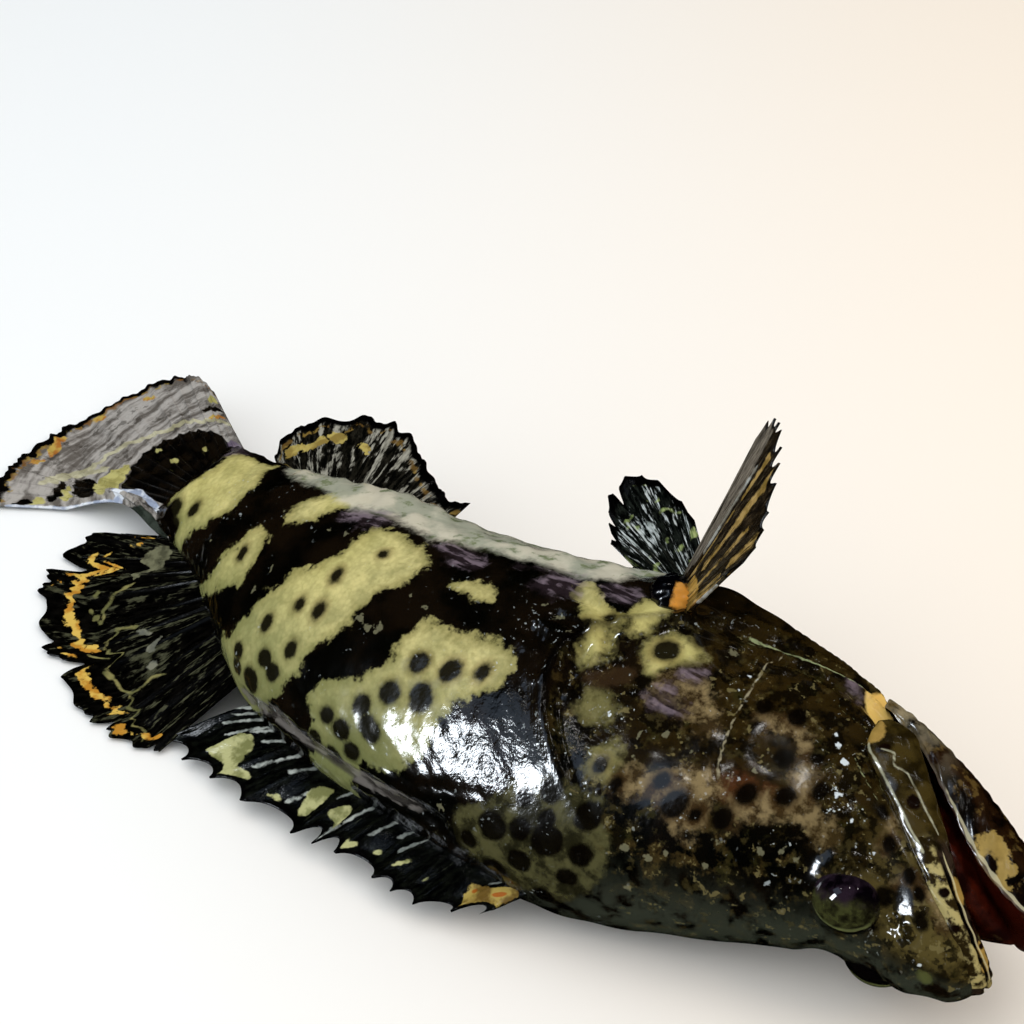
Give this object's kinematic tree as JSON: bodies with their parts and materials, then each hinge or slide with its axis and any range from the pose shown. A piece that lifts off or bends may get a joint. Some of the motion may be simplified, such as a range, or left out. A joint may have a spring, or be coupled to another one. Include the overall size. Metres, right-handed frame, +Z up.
{
  "type": "whole grouper",
  "caption": "Whole raw grouper lying on its right side, mouth a little open and fins spread, with dark bands and spots on pale olive skin.",
  "frame": {"origin": "middle of the fish's box, on the table it lies on", "axes": "+X towards the head, -Y towards the back, +Y towards the belly, +Z up, out of the left flank"},
  "size_m": [0.3912, 0.1368, 0.1189],
  "materials": {
    "wet_skin": "wet glossy fish skin, near-black slanted bands and round dark spots on pale olive, yellow and silver on the fins"
  },
  "bodies": {
    "root": {"grouper": "wet_skin"}
  },
  "joints": []
}
